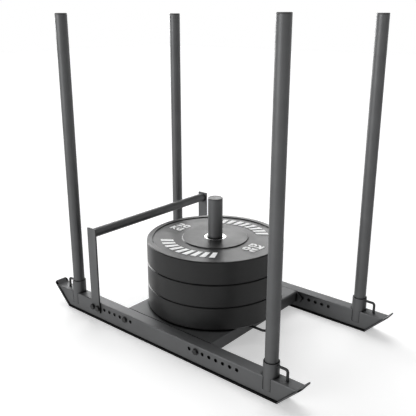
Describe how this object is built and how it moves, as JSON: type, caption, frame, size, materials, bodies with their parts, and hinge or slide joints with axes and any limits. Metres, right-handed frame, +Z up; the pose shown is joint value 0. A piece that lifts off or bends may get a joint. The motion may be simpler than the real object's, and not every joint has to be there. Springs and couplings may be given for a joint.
{
  "type": "weight sled",
  "caption": "Push and pull sled on steel runners, with upright poles, a low handle, and rubber weight plates on a centre post.",
  "frame": {"origin": "on the floor under the middle of the sled, at the centre of the bottom of its box", "axes": "+X along the runners towards the end with the tray's tow loop, +Y to the left side, +Z up"},
  "size_m": [1.036, 0.5728, 0.994],
  "materials": {
    "frame_paint": "satin anthracite powder coat",
    "plate_rubber": "matt black moulded rubber",
    "hub_steel": "turned and polished steel",
    "cap_plastic": "fine-grained grey plastic",
    "fastener_steel": "black oxide steel",
    "marking": "white raised lettering"
  },
  "bodies": {
    "frame": {"right_runner": "frame_paint", "left_runner": "frame_paint", "right_skid": "frame_paint", "left_skid": "frame_paint", "front_right_socket": "frame_paint", "front_left_socket": "frame_paint", "rear_right_socket": "frame_paint", "rear_left_socket": "frame_paint", "socket_floor_discs": "frame_paint", "front_right_tow_loop": "frame_paint", "front_left_tow_loop": "frame_paint", "rear_right_tow_loop": "frame_paint", "rear_left_tow_loop": "frame_paint", "weight_tray": "frame_paint", "tray_tow_loop": "frame_paint", "weight_post": "frame_paint", "post_flange": "frame_paint", "post_cap": "cap_plastic", "right_handle_leg": "frame_paint", "left_handle_leg": "frame_paint", "handle_crossbar": "frame_paint", "handle_bolts": "fastener_steel", "handle_washers": "fastener_steel", "handle_nuts": "fastener_steel", "tray_bolts": "fastener_steel", "tray_washers": "fastener_steel", "tray_nuts": "fastener_steel"},
    "front_right_pole": {"front_right_pole": "frame_paint", "front_right_pole_cap": "cap_plastic"},
    "front_left_pole": {"front_left_pole": "frame_paint", "front_left_pole_cap": "cap_plastic"},
    "rear_right_pole": {"rear_right_pole": "frame_paint", "rear_right_pole_cap": "cap_plastic"},
    "rear_left_pole": {"rear_left_pole": "frame_paint", "rear_left_pole_cap": "cap_plastic"},
    "lower_plate": {"lower_plate": "plate_rubber", "lower_hub_ring": "hub_steel"},
    "middle_plate": {"middle_plate": "plate_rubber", "middle_hub_ring": "hub_steel"},
    "upper_plate": {"upper_plate": "plate_rubber", "upper_hub_ring": "hub_steel"}
  },
  "joints": [
    {"name": "front_right_pole_lift", "type": "slide", "parent": "frame", "child": "front_right_pole", "axis": [0, 0, 1], "range_m": [0, 0.1]},
    {"name": "front_left_pole_lift", "type": "slide", "parent": "frame", "child": "front_left_pole", "axis": [0, 0, 1], "range_m": [0, 0.1]},
    {"name": "rear_right_pole_lift", "type": "slide", "parent": "frame", "child": "rear_right_pole", "axis": [0, 0, 1], "range_m": [0, 0.1]},
    {"name": "rear_left_pole_lift", "type": "slide", "parent": "frame", "child": "rear_left_pole", "axis": [0, 0, 1], "range_m": [0, 0.1]},
    {"name": "lower_plate_lift", "type": "slide", "parent": "frame", "child": "lower_plate", "axis": [0, 0, 1], "range_m": [0, 0.38]},
    {"name": "middle_plate_lift", "type": "slide", "parent": "lower_plate", "child": "middle_plate", "axis": [0, 0, 1], "range_m": [0, 0.305]},
    {"name": "upper_plate_lift", "type": "slide", "parent": "middle_plate", "child": "upper_plate", "axis": [0, 0, 1], "range_m": [0, 0.23]}
  ]
}
